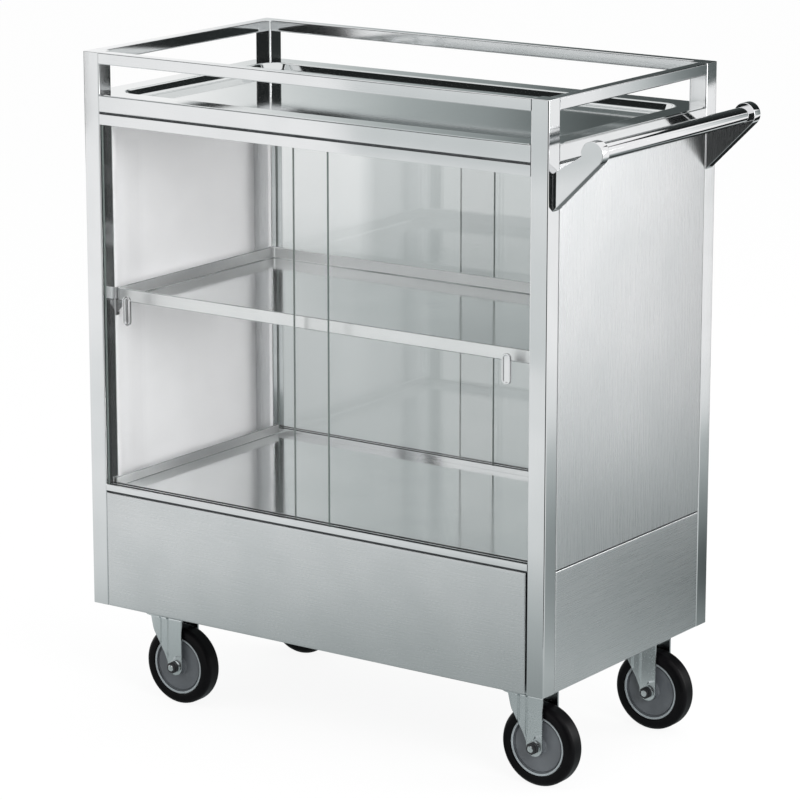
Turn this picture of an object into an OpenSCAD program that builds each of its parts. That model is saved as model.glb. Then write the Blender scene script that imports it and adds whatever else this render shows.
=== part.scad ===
/* [Body] */
// Width of the body over the corner posts
body_w = 840; // [700:10:1100]
// Depth of the body over the corner posts
body_d = 460; // [420:10:560]
// Height of a corner post
post_h = 870; // [830:10:960]
// Side of the square corner tube
post_w = 30; // [26:1:36]
// Wall of the corner tube
post_wall = 1.5; // [1.2:0.1:2.5]
// Height of the plug in a post's foot
plug_h = 18; // [14:1:24]
// Thickness of a plug's floor
plug_t = 3; // [2:0.5:4]
// Thickness of a plug's wall
plug_wall = 2.5; // [2:0.5:4]
// Outer corner radius of the drawn square tubes
tube_r = 1.5; // [1:0.1:2]
// Thickness of the folded panel sheet
sheet_t = 1.2; // [0.8:0.1:1.5]

/* [Gallery and deck] */
// Side of the square gallery rail
rail_w = 18; // [15:1:22]
// Wall of the gallery rail and of the deck rails
rail_wall = 1.2; // [1:0.1:1.8]
// Open gap between the gallery rail and the deck
gallery_gap = 46; // [30:1:70]
// Height of the rails that carry the deck
deck_rail_h = 26; // [22:1:32]
// Width of the rails that carry the deck
deck_rail_d = 20; // [16:1:24]
// Thickness of the pressed deck
deck_t = 1; // [0.8:0.1:1.5]
// Depth of the pressed well
well_depth = 14; // [10:1:18]
// Flat border from the body's face to the well
well_margin = 33; // [30:1:50]
// Corner radius of the well's mouth
well_r = 36; // [30:1:60]
// Slope of the well's wall from level
well_slope = 65; // [55:1:75]
// Bend radius at the well's mouth
mouth_bend = 4; // [2:0.5:5]
// Bend radius at the well's floor
floor_bend = 8; // [5:0.5:9]

/* [Doors and tracks] */
// Thickness of the glass doors
glass_t = 5; // [4:0.5:6]
// Overlap of the two doors of one side when both are shut
door_overlap = 70; // [40:1:120]
// Gap between a shut door's edge and its post
door_gap = 0.5; // [0.4:0.1:1]
// Play on each face of the glass in its channel
channel_play = 1; // [0.5:0.1:1.5]
// Thickness of the track's walls
track_wall = 2.5; // [2:0.1:3]
// Height of the upper track
track_h = 16; // [14:1:20]
// How far the glass reaches up into the upper track
door_reach = 9; // [6:0.5:10]
// Height of the sill track
sill_h = 10; // [9:1:14]
// Thickness of a track's web
track_web = 3; // [2:0.5:4]
// Running gap under the glass
door_run = 0.3; // [0.2:0.1:0.5]
// Shadow groove between a track and its neighbour
shadow_gap = 3; // [2:0.5:4]
// Setback of the strip inside the shadow groove
groove_depth = 7; // [5:1:9]
// Width of a finger pull
pull_w = 15; // [12:1:20]
// Height of a finger pull
pull_h = 46; // [36:1:60]
// How far a finger pull stands off the glass
pull_t = 2.8; // [2:0.1:3]
// Rim round the cup of a finger pull
pull_rim = 3; // [2:0.5:4]
// Distance from a door's free edge to its pull
pull_inset = 45; // [30:1:80]
// Height of the pulls above the post's foot
pull_z = 476; // [350:1:600]

/* [Display] */
// Height of the skirts round the foot
skirt_h = 183; // [150:1:210]
// Seam between a side panel and the skirt under it
side_seam = 2; // [1:0.5:3]
// Depth of the folded edges of the skirts
skirt_fold = 18; // [14:1:20]
// Gap at the free end of the front and rear skirts
skirt_end_gap = 2.6; // [1.5:0.1:3]
// Gap round every fitted panel
fit_gap = 0.3; // [0.2:0.1:0.5]
// Width of the boxed edge of a side panel beside each post
hem_w = 8.5; // [6:0.5:12]
// Depth of the ledge that carries the bottom deck
ledge_w = 45; // [40:1:60]
// Thickness of the shelf and bottom deck sheet
tray_t = 1.5; // [1.2:0.1:2]
// Thickness of a folded tray edge
lip_t = 3; // [2:0.5:4]
// Height of the shelf's edge
shelf_lip = 20; // [16:1:30]
// Height of the shelf's underside above the post's foot
shelf_z = 483; // [380:1:600]
// Corner radius of the shelf
shelf_r = 8; // [6:1:14]
// Gap between a tray's end and the face of the panel edge
tray_gap = 1.5; // [1.3:0.1:2.5]
// Height of the bottom deck's side edges
deck_lip = 16.5; // [14:0.5:24]
// Width of a shelf bracket
support_w = 8; // [6:1:8]
// How far a shelf bracket reaches under the shelf
support_reach = 22; // [16:1:30]
// Height of a shelf bracket's leg under the shelf
support_drop = 24; // [16:1:40]
// Thickness of a shelf bracket
support_t = 1.2; // [1:0.1:1.2]

/* [Handle] */
// Reach of the handle's axis beyond the body's side
handle_reach = 64; // [55:1:90]
// Drop of the handle's axis below the post's top
handle_drop = 71; // [60:1:110]
// Diameter of the handle tube
handle_d = 25; // [20:1:30]
// Wall of the handle tube
handle_wall = 1.5; // [1:0.1:2.5]
// Radius of a bracket's rounded tip
tip_r = 18; // [16:0.5:22]
// Thickness of a handle bracket
bracket_t = 18; // [14:1:19]
// Distance from the body's face to a bracket
bracket_inset = 11; // [8:1:12]
// Top of a bracket's foot below the handle's axis
foot_top = 33; // [25:1:45]
// Bottom of a bracket's foot below the handle's axis
foot_bottom = 88; // [70:1:110]
// Depth of the socket that holds the tube
socket_depth = 12; // [8:1:13]

/* [Casters] */
// Diameter of a wheel
wheel_d = 125; // [100:1:150]
// Width of a tyre
tyre_w = 32; // [26:1:36]
// Height of the tyre's rubber
tyre_h = 16.5; // [12:0.5:20]
// Corner radius of the tyre's tread
tread_r = 9; // [5:0.5:10]
// Half width of the hub's disc
disc_half = 11; // [9:0.5:12]
// Half width of the hub's rim ring
ring_half = 14; // [12.5:0.5:15]
// Width of the hub's rim ring
ring_w = 3.5; // [2.5:0.5:5]
// Radius of the hub's boss
boss_r = 13; // [10:1:16]
// Diameter of the axle bolt
axle_d = 10; // [8:1:12]
// Running clearance of pins in their bores
pin_play = 0.06; // [0.04:0.01:0.09]
// Trail of the wheel's axle behind the swivel axis
trail = 37; // [30:1:45]
// Thickness of the fork's pressed steel
fork_t = 2.5; // [2:0.5:3]
// Gap between the tyre and a fork leg
fork_room = 4; // [3:0.5:6]
// Radius of the fork's rounded foot
foot_r = 14; // [12:1:16]
// Height of a fork leg's lower bend above the axle
leg_low = 18; // [15:1:22]
// Height of a fork leg's upper bend above the axle
leg_high = 55; // [46:1:62]
// Reach of the fork's crown to the far side of the swivel axis
leg_back = 12; // [8:1:16]
// Radius of the stiffening beads on a fork leg
bead_r = 2; // [1.5:0.5:2.5]
// Height above the axle at which the first bead begins
bead_low = 20; // [18:1:26]
// Distance between the two beads of a leg
bead_gap = 14; // [12:1:16]
// Height of the second bead's start above the first one's
bead_rise = 18; // [14:1:24]
// Gap between the wheel and the fork's crown
crown_room = 14; // [12:1:20]
// Height of the swivel bearing
race_h = 18; // [16:1:22]
// Outer radius of the swivel bearing
race_r = 33; // [28:1:36]
// Radius of the kingpin
king_r = 6; // [5:0.5:8]
// Thickness of a caster's mounting plate
plate_t = 3; // [2.5:0.5:4]
// Length of a mounting plate
plate_l = 100; // [96:1:110]
// Width of a mounting plate
plate_w = 84; // [78:1:90]
// Bolt spacing along the plate
bolt_x = 80; // [76:1:84]
// Bolt spacing across the plate
bolt_y = 60; // [58:1:66]
// Diameter of the plate bolts
bolt_d = 8; // [6:1:10]
// Distance from the body's end to a swivel axis
caster_x = 84; // [80:1:120]
// Distance from the body's face to a swivel axis
caster_y = 71; // [66:1:90]
// How far the base plate sits up inside the skirts
base_recess = 3; // [2:0.5:6]
// Thickness of the base plate
base_t = 2; // [1.5:0.5:3]
// Height of the base plate's turned-up edges
base_edge = 20; // [14:1:30]

/* [Hidden] */
$fn = 64;

satin = "#c9cccc";
polished = "#e3e5e6";
pane = "#cfdcd8a0";
black_rubber = "#17161a";
grey_hub = "#5d6265";
zinc = "#b4b9bb";
black_plastic = "#222426";

// Places along the height, from the foot of the posts
deck_z = post_h - rail_w - gallery_gap;
deck_rail_z = deck_z - deck_t - deck_rail_h;
track_z = deck_rail_z - shadow_gap - track_h;
sill_z = skirt_h + shadow_gap;
panel_z = skirt_h + side_seam;
handle_z = post_h - handle_drop;
// Span between two posts
span_w = body_w - 2 * post_w;
span_d = body_d - 2 * post_w;
// Door channels, measured inwards from the body's face
channel_w = glass_t + 2 * channel_play;
track_d = 3 * track_wall + 2 * channel_w;
outer_glass = track_wall + channel_play;
inner_glass = outer_glass + channel_w + track_wall;
door_w = (span_w + door_overlap) / 2 - door_gap;
door_z = sill_z + track_web + door_run;
door_h = track_z + door_reach - door_z;
// Trays between the boxed panel edges
tray_w = span_w - 2 * tray_gap;
tray_d = body_d - 2 * post_w;
bottom_z = panel_z + tray_t;
// Casters, with heights from the floor
wheel_r = wheel_d / 2;
rim_r = wheel_r - tyre_h;
crown_z = wheel_d + crown_room;
crown_top = crown_z + fork_t;
plate_z = crown_top + race_h;
caster_h = plate_z + plate_t;
floor_gap = caster_h - base_recess;
fork_in = tyre_w / 2 + fork_room;
fork_out = fork_in + fork_t;
nut_af = 1.7 * axle_d;
bolt_af = 1.6 * bolt_d;
hole_r = bolt_d / 2 + 0.5;
washer_t = 1.5;
// The origin is under the middle of the whole cart, handle included
body_shift = (handle_reach + tip_r) / 2;

// Draws in the body's own frame, from the middle of its foot
module at_body() translate([-body_shift, 0, floor_gap]) children();
// Draws at one caster's swivel axis, from the floor
module at_caster(sx, sy)
    translate([sx * (body_w / 2 - caster_x) - body_shift, sy * (body_d / 2 - caster_y), 0]) children();
// Turns the front's pieces half round to the rear
module at_side(rear) rotate(rear ? 180 : 0) children();

// Flat outlines
module rounded(w, d, r) {
    square([w - 2 * r, d], center = true);
    square([w, d - 2 * r], center = true);
    for (x = [-1, 1], y = [-1, 1])
        translate([x * (w / 2 - r), y * (d / 2 - r)]) circle(r = r, $fn = 32);
}
module tube_section(w, d, wall) {
    difference() {
        rounded(w, d, tube_r);
        square([w - 2 * wall, d - 2 * wall], center = true);
    }
}
// Points of an arc about a centre
function arc(cx, cy, r, from, to, steps) =
    [for (i = [0:steps]) let (a = from + (to - from) * i / steps) [cx + r * cos(a), cy + r * sin(a)]];
// Carries a section round a rectangle with rounded corners. The section's x runs outwards from the
// centre of the corner and its y runs up
module round_edge(w, d, r) {
    for (k = [0:3]) {
        long = k % 2 == 0 ? w : d;
        across = k % 2 == 0 ? d : w;
        rotate(90 * k) translate([long / 2 - r, r - across / 2, 0]) {
            rotate([90, 0, -90]) linear_extrude(long - 2 * r) children();
            rotate(-90) rotate_extrude(angle = 90) children();
        }
    }
}

// Corner post: square tube with a welded top
module post(sx, sy) {
    color(satin) at_body() translate([sx * (body_w - post_w) / 2, sy * (body_d - post_w) / 2, 0]) {
        linear_extrude(post_h) tube_section(post_w, post_w, post_wall);
        translate([0, 0, post_h - post_wall])
            linear_extrude(post_wall) square(post_w - 2 * post_wall + 0.2, center = true);
    }
}
// Ribbed plug in the open foot of each post
module post_plugs() {
    plug_w = post_w - 2 * (post_wall + fit_gap);
    color(black_plastic) at_body() for (sx = [-1, 1], sy = [-1, 1])
        translate([sx * (body_w - post_w) / 2, sy * (body_d - post_w) / 2, 0]) {
            linear_extrude(plug_t) square(plug_w, center = true);
            linear_extrude(plug_h) difference() {
                square(plug_w, center = true);
                square(plug_w - 2 * plug_wall, center = true);
            }
        }
}

// Straight square tubes between the posts
module rail_x(sy, w, h, z) {
    color(satin) at_body() translate([-span_w / 2, sy * (body_d - w) / 2, z + h / 2])
        rotate([90, 0, 90]) linear_extrude(span_w) tube_section(w, h, rail_wall);
}
module rail_y(sx, w, h, z) {
    color(satin) at_body() translate([sx * (body_w - w) / 2, span_d / 2, z + h / 2])
        rotate([90, 0, 0]) linear_extrude(span_d) tube_section(w, h, rail_wall);
}

// Pressed deck: border on the deck rails, notched round the posts, with a sunk well
slope_run = (well_depth - (mouth_bend + floor_bend) * (1 - cos(well_slope))) / sin(well_slope);
well_run = (mouth_bend + floor_bend) * sin(well_slope) + slope_run * cos(well_slope);
module well_section() {
    side = well_r - well_run;
    up = [90, 90 + well_slope];
    down = [well_slope - 90, -90];
    polygon(concat(
        [[well_r + 2, 0]],
        arc(well_r, -mouth_bend, mouth_bend, up[0], up[1], 6),
        arc(side, floor_bend - well_depth, floor_bend, down[0], down[1], 8),
        [[side - 2, -well_depth], [side - 2, -well_depth - deck_t]],
        arc(side, floor_bend - well_depth, floor_bend + deck_t, down[1], down[0], 8),
        arc(well_r, -mouth_bend, mouth_bend - deck_t, up[1], up[0], 6),
        [[well_r + 2, -deck_t]]));
}
module top_deck() {
    mouth_w = body_w - 2 * well_margin;
    mouth_d = body_d - 2 * well_margin;
    notch = post_w + fit_gap;
    color(polished) at_body() translate([0, 0, deck_z]) {
        translate([0, 0, -deck_t]) linear_extrude(deck_t) difference() {
            square([body_w, body_d], center = true);
            rounded(mouth_w, mouth_d, well_r);
            for (x = [-1, 1], y = [-1, 1])
                translate([x * (body_w - notch) / 2, y * (body_d - notch) / 2])
                    square(notch + 0.01, center = true);
        }
        round_edge(mouth_w, mouth_d, well_r) well_section();
        translate([0, 0, -well_depth - deck_t]) linear_extrude(deck_t)
            rounded(mouth_w - 2 * well_run, mouth_d - 2 * well_run, well_r - well_run);
    }
}

// Double door tracks, drawn inwards from the body's face
module track_section(h) {
    square([track_d, track_web]);
    for (i = [0:2])
        translate([i * (channel_w + track_wall), 0]) square([track_wall, h]);
    translate([groove_depth, -shadow_gap])
        square([track_d - 2 * groove_depth, shadow_gap + 0.1]);
}
module track(rear, h, z, up) {
    color(satin) at_body() at_side(rear) translate([-span_w / 2, -body_d / 2, z])
        rotate([90, 0, 90]) linear_extrude(span_w) mirror([0, up ? 0 : 1]) track_section(h);
}

// A glass door and its finger pull; the front's left door runs in the outer channel
module door(rear, left) {
    color(pane) at_body() at_side(rear) {
        y = left ? outer_glass : inner_glass;
        x = left ? door_gap - span_w / 2 : span_w / 2 - door_gap - door_w;
        translate([x, y - body_d / 2, door_z]) cube([door_w, glass_t, door_h]);
    }
}
module pull_outline(w, h) {
    square([w, h - w], center = true);
    for (s = [-1, 1])
        translate([0, s * (h - w) / 2]) circle(d = w, $fn = 48);
}
module pull(rear, left) {
    y = left ? outer_glass : inner_glass;
    x = span_w / 2 - door_gap - pull_inset;
    cup_w = pull_w - 2 * pull_rim;
    color(polished) at_body() at_side(rear)
        translate([left ? -x : x, y - body_d / 2, pull_z]) rotate([90, 0, 0]) difference() {
            linear_extrude(pull_t) pull_outline(pull_w, pull_h);
            translate([0, 0, 0.8]) linear_extrude(pull_t)
                pull_outline(cup_w, pull_h - 2 * pull_rim);
        }
}

// Side panel: outer skin with boxed edges beside the posts, top fold and deck ledge
module side_panel(sx) {
    panel_d = span_d - 2 * fit_gap;
    panel_h = deck_rail_z - shadow_gap - panel_z;
    // The section is drawn inwards from the outer face
    color(satin) at_body() translate([0, 0, panel_z]) mirror([sx < 0 ? 1 : 0, 0])
        translate([body_w / 2, 0, 0]) rotate(180) {
            linear_extrude(panel_h) {
                translate([0, -panel_d / 2]) square([sheet_t, panel_d]);
                for (s = [0, 1]) mirror([0, s]) translate([0, -panel_d / 2]) {
                    square([post_w, sheet_t]);
                    translate([post_w - sheet_t, 0]) square([sheet_t, hem_w]);
                    translate([0, hem_w - sheet_t]) square([post_w, sheet_t]);
                }
            }
            fold_d = panel_d - 2 * hem_w - 1;
            translate([0, -fold_d / 2, 0]) cube([ledge_w, fold_d, tray_t]);
            translate([0, -fold_d / 2, panel_h - sheet_t]) cube([deck_rail_d, fold_d, sheet_t]);
        }
}

// Folded skirt, open behind, drawn from its lower outer corner
module skirt_pan(w) {
    difference() {
        cube([w, skirt_fold, skirt_h]);
        translate([sheet_t, sheet_t, sheet_t])
            cube([w - 2 * sheet_t, skirt_fold, skirt_h - 2 * sheet_t]);
    }
}
module skirt_long(rear) {
    color(satin) at_body() at_side(rear)
        translate([fit_gap - span_w / 2, -body_d / 2, 0])
            skirt_pan(span_w - fit_gap - skirt_end_gap);
}
module skirt_end(sx) {
    color(satin) at_body() rotate(90 * sx) translate([fit_gap - span_d / 2, -body_w / 2, 0])
        skirt_pan(span_d - 2 * fit_gap);
}

// Base plate with turned-up edges behind the skirts, drilled for the casters
module base_plate() {
    edge = sheet_t + fit_gap;
    notch = post_w + skirt_end_gap + sheet_t + 2 * fit_gap;
    plan = [[body_w - 2 * edge, body_d - 2 * notch], [body_w - 2 * notch, body_d - 2 * edge]];
    color(satin) at_body() translate([0, 0, base_recess]) {
        difference() {
            linear_extrude(base_t) for (p = plan) square(p, center = true);
            for (sx = [-1, 1], sy = [-1, 1], bx = [-1, 1], by = [-1, 1])
                translate([sx * (body_w / 2 - caster_x) + bx * bolt_x / 2,
                        sy * (body_d / 2 - caster_y) + by * bolt_y / 2, -1])
                    cylinder(r = hole_r, h = base_t + 2, $fn = 32);
        }
        for (s = [-1, 1]) {
            translate([s * (plan[0][0] - base_t) / 2, 0, base_edge / 2])
                cube([base_t, plan[0][1], base_edge], center = true);
            translate([0, s * (plan[1][1] - base_t) / 2, base_edge / 2])
                cube([plan[1][0], base_t, base_edge], center = true);
        }
    }
}

// Folded edge of a tray, from the outer face inwards, with its top corners eased
module lip_section(h) {
    ease = lip_t / 4;
    polygon([[-lip_t, 0], [0, 0], [0, h - ease], [-ease, h], [ease - lip_t, h], [-lip_t, h - ease]]);
}
// Bottom deck between the tracks, with raised ends
module bottom_deck() {
    floor_d = body_d - 2 * (track_d + fit_gap);
    color(polished) at_body() translate([0, 0, bottom_z]) {
        linear_extrude(tray_t) square([tray_w, floor_d], center = true);
        for (s = [0, 1]) rotate(180 * s) translate([tray_w / 2, floor_d / 2, 0])
            rotate([90, 0, 0]) linear_extrude(floor_d) lip_section(deck_lip);
    }
}
// Middle shelf: tray with a folded edge on all four sides
module middle_shelf() {
    color(polished) at_body() translate([0, 0, shelf_z]) {
        linear_extrude(tray_t)
            rounded(tray_w - lip_t, tray_d - lip_t, shelf_r - lip_t / 2);
        round_edge(tray_w, tray_d, shelf_r) translate([shelf_r, 0]) lip_section(shelf_lip);
    }
}
// Shelf brackets on the boxed panel edges
module shelf_brackets() {
    color(polished) at_body() for (sx = [0, 1], sy = [0, 1]) mirror([sx, 0]) mirror([0, sy])
        translate([span_w / 2 - support_t, -span_d / 2 + fit_gap, shelf_z]) {
            translate([0, 0, -support_drop]) cube([support_t, support_w, support_drop + shelf_lip]);
            translate([support_t - support_reach, 0, -support_t])
                cube([support_reach, support_w, support_t]);
            translate([0, support_w / 2 + support_t / 2, 0]) rotate([90, 0, 0])
                linear_extrude(support_t)
                    polygon([[0.1, 0], [4 - support_reach, 0], [4 - support_reach, -support_t],
                        [0, 4 - support_drop], [0.1, 4 - support_drop]]);
        }
}

// Handle bracket: a foot on the post and a rounded tip round the tube's socket
module bracket_outline() {
    reach = norm([handle_reach, foot_bottom]);
    tangent = atan2(foot_bottom, handle_reach) - asin(tip_r / reach) - 90;
    polygon(concat([[0, -foot_bottom]], arc(handle_reach, 0, tip_r, tangent, 195, 26),
        [[0, -foot_top]]));
}
module handle_bracket(sy) {
    color(polished) at_body() translate([body_w / 2, 0, handle_z]) mirror([0, sy > 0 ? 1 : 0])
        translate([0, bracket_inset + bracket_t - body_d / 2, 0]) rotate([90, 0, 0])
            difference() {
                linear_extrude(bracket_t) bracket_outline();
                translate([handle_reach, 0, -1])
                    cylinder(d = handle_d + 2 * pin_play, h = socket_depth + 1);
            }
}
module handle_tube() {
    length = body_d - 2 * (bracket_inset + bracket_t - socket_depth + fit_gap);
    color(polished) at_body() translate([body_w / 2 + handle_reach, length / 2, handle_z])
        rotate([90, 0, 0]) linear_extrude(length) difference() {
            circle(d = handle_d, $fn = 72);
            circle(d = handle_d - 2 * handle_wall, $fn = 72);
        }
}

// Caster plate with the upper race and the kingpin
module caster_plate(sx, sy) {
    cup = race_r - 3;
    color(zinc) at_caster(sx, sy) {
        translate([0, 0, plate_z]) linear_extrude(plate_t) difference() {
            rounded(plate_l, plate_w, 8);
            for (bx = [-1, 1], by = [-1, 1])
                translate([bx * bolt_x / 2, by * bolt_y / 2]) circle(r = hole_r, $fn = 32);
        }
        rotate_extrude() polygon([[0, plate_z + 0.1], [0, crown_z - 5], [king_r + 2.5, crown_z - 5],
            [king_r + 3, crown_z - 3.5], [king_r + 3, crown_z - fit_gap], [king_r, crown_z - fit_gap],
            [king_r, plate_z - 2], [cup, plate_z - 2], [cup, crown_top + 4], [race_r - 1, crown_top + 4],
            [race_r, crown_top + 6], [race_r, plate_z - 3], [race_r - 2, plate_z + 0.1]]);
    }
}
// Bolts and nuts that hold the four plates under the base plate
module caster_bolts() {
    grip = plate_t + base_t;
    color(zinc) for (sx = [-1, 1], sy = [-1, 1]) at_caster(sx, sy)
        for (bx = [-1, 1], by = [-1, 1])
            translate([bx * bolt_x / 2, by * bolt_y / 2, plate_z]) {
                rotate([180, 0, 0]) cylinder(d = bolt_af / cos(30), h = 0.65 * bolt_d, $fn = 6);
                cylinder(d = bolt_d, h = grip + bolt_d, $fn = 32);
                translate([0, 0, grip]) difference() {
                    cylinder(d = bolt_af / cos(30), h = 0.8 * bolt_d, $fn = 6);
                    translate([0, 0, -1]) cylinder(d = bolt_d + 2 * pin_play, h = bolt_d + 2, $fn = 32);
                }
            }
}

// Fork: two legs bent down from the crown, cut to a slanted side outline
module leg_outline() {
    top = crown_top - wheel_r;
    knee = [-foot_r - 5, leg_low];
    tangent = atan2(knee[1], knee[0]) + acos(foot_r / norm(knee));
    circle(r = foot_r);
    polygon([[foot_r, 0], [foot_r, top], [-leg_back - trail, top], [-trail - 4, leg_high], knee,
        [foot_r * cos(tangent), foot_r * sin(tangent)], [0, 0]]);
}
module fork_plan(half) {
    circle(r = half);
    translate([0, -half]) square([trail + 2 * foot_r, 2 * half]);
}
module fork(sx, sy) {
    lower_race = race_r - 3.4;
    color(zinc) at_caster(sx, sy) difference() {
        union() {
            intersection() {
                linear_extrude(crown_top) difference() {
                    fork_plan(fork_out);
                    fork_plan(fork_in);
                }
                translate([trail, 0, wheel_r]) rotate([90, 0, 0])
                    linear_extrude(2 * fork_out + 2, center = true) leg_outline();
            }
            translate([0, 0, crown_z]) linear_extrude(fork_t) {
                circle(r = race_r - 1);
                translate([0, -fork_out]) square([trail + foot_r, 2 * fork_out]);
            }
            translate([0, 0, crown_top - 0.1]) rotate_extrude()
                polygon([[0, 0], [lower_race, 0], [lower_race, race_h - 8], [lower_race - 4, race_h - 4],
                    [0, race_h - 4]]);
            for (side = [-1, 1], k = [0, 1])
                translate([trail - foot_r + 1 - k * bead_gap, side * (fork_out - 0.8),
                    wheel_r + bead_low + k * bead_rise]) {
                    cylinder(r = bead_r, h = crown_z - wheel_r - bead_low - k * bead_rise, $fn = 24);
                    sphere(r = bead_r, $fn = 24);
                }
        }
        translate([0, 0, crown_z - 1]) cylinder(r = king_r + pin_play, h = race_h + 10);
        translate([trail, 0, wheel_r]) rotate([90, 0, 0])
            cylinder(d = axle_d + 2 * pin_play, h = 2 * fork_out + 2, center = true, $fn = 48);
    }
}
// Axle bolt with its head behind and its nut in front, and a washer under each
module axle(sx, sy) {
    head = fork_out + washer_t;
    nut_h = 0.8 * axle_d;
    color(zinc) at_caster(sx, sy) translate([trail, 0, wheel_r]) rotate([90, 0, 0]) {
        translate([0, 0, -head]) cylinder(d = axle_d, h = 2 * head + nut_h + 1.5);
        translate([0, 0, -head - 0.6 * axle_d])
            cylinder(d = nut_af / cos(30), h = 0.6 * axle_d, $fn = 6);
        for (z = [-head, fork_out]) translate([0, 0, z]) cylinder(r = axle_d, h = washer_t);
        translate([0, 0, head]) {
            cylinder(d = nut_af / cos(30), h = 0.65 * nut_h, $fn = 6);
            cylinder(d = nut_af - 1, h = nut_h);
        }
    }
}
// Hub: flat disc with a raised rim ring and a boss between the fork legs
module hub(sx, sy) {
    bore = axle_d / 2 + pin_play;
    boss_half = fork_in - fit_gap;
    half = [[bore, boss_half], [boss_r - 1.5, boss_half], [boss_r, boss_half - 1.5],
        [boss_r + 1, disc_half + 1], [boss_r + 3, disc_half],
        [rim_r - ring_w - 2.5, disc_half], [rim_r - ring_w - 1, disc_half - 1.5],
        [rim_r - ring_w, disc_half - 1.5], [rim_r - ring_w, ring_half - 0.6],
        [rim_r - ring_w + 0.6, ring_half], [rim_r - 0.6, ring_half], [rim_r, ring_half - 0.6]];
    color(grey_hub) at_caster(sx, sy) translate([trail, 0, wheel_r]) rotate([90, 0, 0])
        rotate_extrude($fn = 96) polygon(concat(half,
            [for (i = [len(half) - 1:-1:0]) [half[i][0], -half[i][1]]]));
}
// Tyre with a rounded tread on the hub's rim
module tyre(sx, sy) {
    seat = rim_r + 0.1;
    side = tyre_w / 2;
    color(black_rubber) at_caster(sx, sy) translate([trail, 0, wheel_r]) rotate([90, 0, 0])
        rotate_extrude($fn = 96) polygon(concat(
            [[seat, 2 - side], [seat + 2, -side]],
            arc(wheel_r - tread_r, tread_r - side, tread_r, -90, 0, 8),
            arc(wheel_r - tread_r, side - tread_r, tread_r, 0, 90, 8),
            [[seat + 2, side], [seat, side - 2]]));
}

post(-1, -1);  // post_front_left
post(1, -1);  // post_front_right
post(-1, 1);  // post_rear_left
post(1, 1);  // post_rear_right
post_plugs();
rail_x(-1, rail_w, rail_w, post_h - rail_w);  // gallery_rail_front
rail_x(1, rail_w, rail_w, post_h - rail_w);  // gallery_rail_rear
rail_y(-1, rail_w, rail_w, post_h - rail_w);  // gallery_rail_left
rail_y(1, rail_w, rail_w, post_h - rail_w);  // gallery_rail_right
rail_x(-1, deck_rail_d, deck_rail_h, deck_rail_z);  // deck_rail_front
rail_x(1, deck_rail_d, deck_rail_h, deck_rail_z);  // deck_rail_rear
rail_y(-1, deck_rail_d, deck_rail_h, deck_rail_z);  // deck_rail_left
rail_y(1, deck_rail_d, deck_rail_h, deck_rail_z);  // deck_rail_right
top_deck();
track(false, track_h, track_z + track_h, false);  // upper_track_front
track(true, track_h, track_z + track_h, false);  // upper_track_rear
track(false, sill_h, sill_z, true);  // sill_track_front
track(true, sill_h, sill_z, true);  // sill_track_rear
side_panel(-1);  // side_panel_left
side_panel(1);  // side_panel_right
skirt_long(false);  // skirt_front
skirt_long(true);  // skirt_rear
skirt_end(-1);  // skirt_left
skirt_end(1);  // skirt_right
base_plate();
bottom_deck();
middle_shelf();
shelf_brackets();
handle_tube();
handle_bracket(-1);  // handle_bracket_front
handle_bracket(1);  // handle_bracket_rear
door(false, true);  // front_door_left
door(false, false);  // front_door_right
door(true, false);  // rear_door_left
door(true, true);  // rear_door_right
pull(false, true);  // front_pull_left
pull(false, false);  // front_pull_right
pull(true, false);  // rear_pull_left
pull(true, true);  // rear_pull_right
caster_plate(-1, -1);  // caster_plate_front_left
caster_plate(1, -1);  // caster_plate_front_right
caster_plate(-1, 1);  // caster_plate_rear_left
caster_plate(1, 1);  // caster_plate_rear_right
caster_bolts();
fork(-1, -1);  // fork_front_left
fork(1, -1);  // fork_front_right
fork(-1, 1);  // fork_rear_left
fork(1, 1);  // fork_rear_right
axle(-1, -1);  // axle_front_left
axle(1, -1);  // axle_front_right
axle(-1, 1);  // axle_rear_left
axle(1, 1);  // axle_rear_right
hub(-1, -1);  // hub_front_left
hub(1, -1);  // hub_front_right
hub(-1, 1);  // hub_rear_left
hub(1, 1);  // hub_rear_right
tyre(-1, -1);  // tyre_front_left
tyre(1, -1);  // tyre_front_right
tyre(-1, 1);  // tyre_rear_left
tyre(1, 1);  // tyre_rear_right
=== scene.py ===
import math

import bmesh
import bpy
import numpy as np
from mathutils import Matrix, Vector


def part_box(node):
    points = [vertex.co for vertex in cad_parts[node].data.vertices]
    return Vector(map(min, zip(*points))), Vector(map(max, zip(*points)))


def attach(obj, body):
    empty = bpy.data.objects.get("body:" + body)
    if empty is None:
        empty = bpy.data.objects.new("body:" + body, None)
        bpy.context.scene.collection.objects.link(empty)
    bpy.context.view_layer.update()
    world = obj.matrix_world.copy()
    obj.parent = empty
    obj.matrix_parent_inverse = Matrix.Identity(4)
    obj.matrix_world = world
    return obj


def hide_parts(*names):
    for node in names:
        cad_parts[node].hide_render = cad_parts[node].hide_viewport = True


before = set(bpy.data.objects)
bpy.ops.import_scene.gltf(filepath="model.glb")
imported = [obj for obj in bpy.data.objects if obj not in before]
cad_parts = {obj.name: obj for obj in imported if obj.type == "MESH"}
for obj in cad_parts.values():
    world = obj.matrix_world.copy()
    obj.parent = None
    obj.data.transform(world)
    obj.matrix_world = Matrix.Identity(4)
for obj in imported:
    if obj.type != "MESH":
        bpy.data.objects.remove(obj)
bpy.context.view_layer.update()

mm = 0.001
leastRadius = 0.01 * mm


def nodeBox(node):
    # low corner, high corner and middle of a CAD node, as arrays in metres
    low, high = (np.array(c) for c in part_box(node))
    return low, high, (low + high) / 2


# surfaces

def quarter(steps):
    # angles of a quarter turn
    return np.linspace(0, math.pi / 2, steps + 1)


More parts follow.
